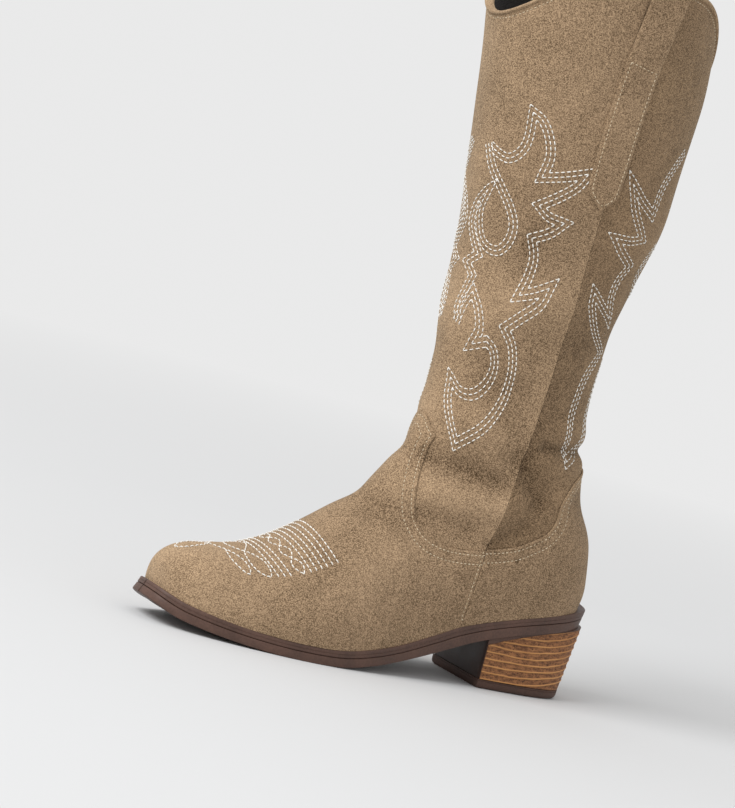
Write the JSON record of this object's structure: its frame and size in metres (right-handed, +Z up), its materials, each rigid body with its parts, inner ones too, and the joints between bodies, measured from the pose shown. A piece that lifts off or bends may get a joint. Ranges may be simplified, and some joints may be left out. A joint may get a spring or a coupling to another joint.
{
  "type": "cowboy boot",
  "caption": "Left Western-style knee boot in faux suede with flame embroidery, stacked block heel and an inner side zip.",
  "frame": {"origin": "centre of the heel's flat bottom face, on the ground", "axes": "+Z up along the shaft, -X towards the toe, +X towards the back of the heel, -Y outer side, +Y inner side with the zip"},
  "size_m": [0.2765, 0.1174, 0.4241],
  "materials": {
    "suede": "napped",
    "lining": "matte",
    "stiffener": "matte",
    "thread": "satin",
    "zip_tape": "woven",
    "zip_coil": "satin",
    "zip_metal": "satin",
    "sole": "satin",
    "top_lift": "satin",
    "stacked_heel": "satin",
    "heel_plastic": "satin",
    "filler": "matte",
    "board": "matte",
    "foam": "matte",
    "steel": "satin"
  },
  "bodies": {
    "boot": {"vamp": "suede", "heel_counter": "suede", "shaft_front_panel": "suede", "shaft_back_panel": "suede", "topline_binding": "suede", "outer_pull_strap": "suede", "toe_puff": "stiffener", "counter_stiffener": "stiffener", "shaft_lining": "lining", "foot_lining": "lining", "zip_tape_front": "zip_tape", "zip_tape_back": "zip_tape", "zip_teeth_front": "zip_coil", "zip_teeth_back": "zip_coil", "zip_top_stop_front": "zip_metal", "zip_top_stop_back": "zip_metal", "zip_bottom_stop": "zip_metal", "zip_guard": "lining", "welt": "sole", "outsole": "sole", "forepart_filler": "filler", "heel_seat_filler": "filler", "shank": "steel", "shank_rivet_1": "steel", "shank_rivet_2": "steel", "insole_board": "board", "sock_liner": "lining", "heel_pad": "foam", "heel_core": "heel_plastic", "heel_wrap": "stacked_heel", "heel_breast_cover": "heel_plastic", "top_lift": "top_lift", "heel_screw": "steel", "heel_nail_1": "steel", "heel_nail_2": "steel", "heel_nail_3": "steel", "heel_nail_4": "steel", "heel_nail_5": "steel"},
    "slider": {"zip_slider": "zip_metal"},
    "pull": {"zip_pull": "zip_metal"}
  },
  "joints": [
    {"name": "zip_slide", "type": "slide", "parent": "boot", "child": "slider", "axis": [0, -0.0591, -0.9983], "range_m": [0, 0.2]},
    {"name": "zip_pull_hinge", "type": "hinge", "parent": "slider", "child": "pull", "pos_m": [-0.052, 0.0574, 0.3878], "axis": [1, 0, 0], "range_deg": [0, 150]}
  ]
}
